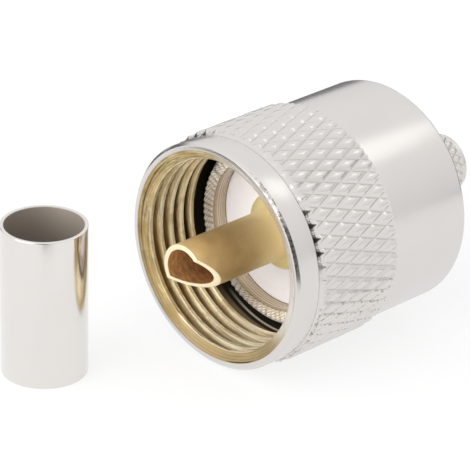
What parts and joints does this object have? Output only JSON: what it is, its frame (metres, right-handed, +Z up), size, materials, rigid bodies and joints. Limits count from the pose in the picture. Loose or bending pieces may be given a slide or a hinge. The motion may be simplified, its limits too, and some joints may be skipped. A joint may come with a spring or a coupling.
{
  "type": "uhf connector",
  "caption": "Crimp plug for coaxial cable with a knurled screw-on coupling nut, a hollow centre pin in a white insulator, a knurled crimp barrel and a loose crimp ferrule.",
  "frame": {"origin": "centre of the mating plane, where the nose ring's face meets the plug's axis", "axes": "+Y along the plug's axis towards the cable, -Y out of the mating end, +Z up; the plug lies on the points of its knurl at Z = -9.05 mm, and the loose ferrule stands on the same surface"},
  "size_m": [0.0204, 0.0379, 0.0182],
  "materials": {
    "nut_nickel": "nickel plate, satin and knurled",
    "body_nickel": "nickel plate, satin",
    "ptfe": "matte white",
    "contact_brass": "satin turned brass",
    "ferrule_nickel": "bright nickel plate"
  },
  "bodies": {
    "plug": {"plug_body": "body_nickel", "insulator": "ptfe", "centre_contact": "contact_brass", "crimp_ferrule": "ferrule_nickel"},
    "nut": {"coupling_nut": "nut_nickel"}
  },
  "joints": [
    {"name": "nut_spin", "type": "hinge", "parent": "plug", "child": "nut", "pos_m": [0, 0, 0], "axis": [0, 1, 0], "continuous": true}
  ]
}
